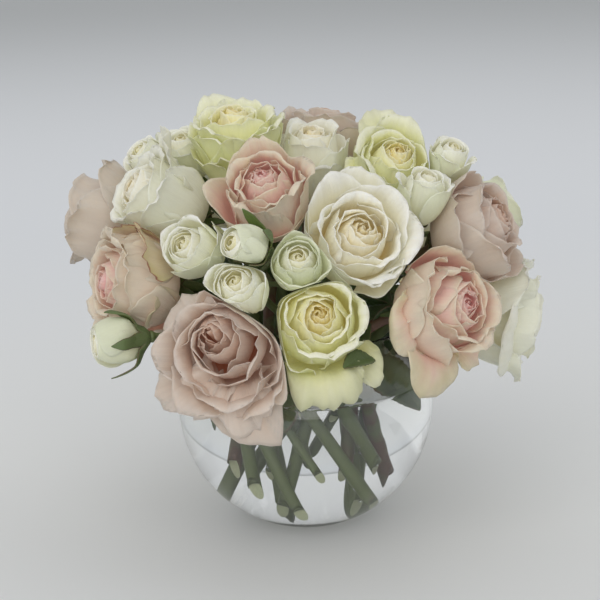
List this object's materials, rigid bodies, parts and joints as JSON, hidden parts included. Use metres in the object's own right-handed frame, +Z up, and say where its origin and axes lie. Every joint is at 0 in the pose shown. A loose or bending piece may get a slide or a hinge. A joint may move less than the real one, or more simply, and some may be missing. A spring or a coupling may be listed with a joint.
{
  "type": "floral table centerpiece",
  "caption": "Domed cluster of garden roses and small spray roses, their stems crossing in a round clear glass bowl filled with water, as a low table centrepiece.",
  "frame": {"origin": "middle of the bowl's flat base, on the surface it stands on", "axes": "+Z up through the bowl, -Y towards the viewer of the front, +X to that viewer's right"},
  "size_m": [0.2774, 0.2478, 0.2477],
  "materials": {
    "bowl_glass": "clear, thin-walled, polished",
    "water": "clear still water",
    "dusty_petals": "velvety dusty mauve petals, warmer in the folds",
    "cream_petals": "matt cream petals, greener at the outside",
    "blush_petals": "matt cream petals flushed pink towards the heart",
    "lemon_petals": "matt pale yellow petals, golden in the heart",
    "ivory_petals": "matt ivory petals with a green cast",
    "green_stems": "satin green stems, sepals and leaves"
  },
  "bodies": {
    "root": {"bloom_blush_back": "blush_petals", "bloom_blush_left": "blush_petals", "bloom_blush_right": "blush_petals", "bloom_blush_upper": "blush_petals", "bloom_cream_back_left": "cream_petals", "bloom_cream_back_right": "cream_petals", "bloom_cream_centre": "cream_petals", "bloom_cream_left": "cream_petals", "bloom_cream_right": "cream_petals", "bloom_cream_top": "cream_petals", "bloom_dusty_back_right": "dusty_petals", "bloom_dusty_front": "dusty_petals", "bloom_dusty_left": "dusty_petals", "bloom_dusty_right": "dusty_petals", "bloom_dusty_top": "dusty_petals", "bloom_lemon_back_left": "lemon_petals", "bloom_lemon_front": "lemon_petals", "bloom_lemon_right": "lemon_petals", "bloom_lemon_top": "lemon_petals", "bowl": "bowl_glass", "spray_bloom_back_left": "ivory_petals", "spray_bloom_back_right": "ivory_petals", "spray_bloom_front_bud": "ivory_petals", "spray_bloom_front_left": "ivory_petals", "spray_bloom_front_low": "ivory_petals", "spray_bloom_front_right": "ivory_petals", "spray_bloom_left_bud": "ivory_petals", "spray_bloom_right_high": "ivory_petals", "spray_bloom_right_low": "ivory_petals", "spray_bloom_right_side": "ivory_petals", "spray_bloom_upper_left_inner": "ivory_petals", "spray_bloom_upper_left_outer": "ivory_petals", "spray_stem_back": "green_stems", "spray_stem_front": "green_stems", "spray_stem_left": "green_stems", "spray_stem_right": "green_stems", "spray_stem_upper_left": "green_stems", "stem_blush_back": "green_stems", "stem_blush_left": "green_stems", "stem_blush_right": "green_stems", "stem_blush_upper": "green_stems", "stem_cream_back_left": "green_stems", "stem_cream_back_right": "green_stems", "stem_cream_centre": "green_stems", "stem_cream_left": "green_stems", "stem_cream_right": "green_stems", "stem_cream_top": "green_stems", "stem_dusty_back_right": "green_stems", "stem_dusty_front": "green_stems", "stem_dusty_left": "green_stems", "stem_dusty_right": "green_stems", "stem_dusty_top": "green_stems", "stem_lemon_back_left": "green_stems", "stem_lemon_front": "green_stems", "stem_lemon_right": "green_stems", "stem_lemon_top": "green_stems", "water": "water"}
  },
  "joints": []
}
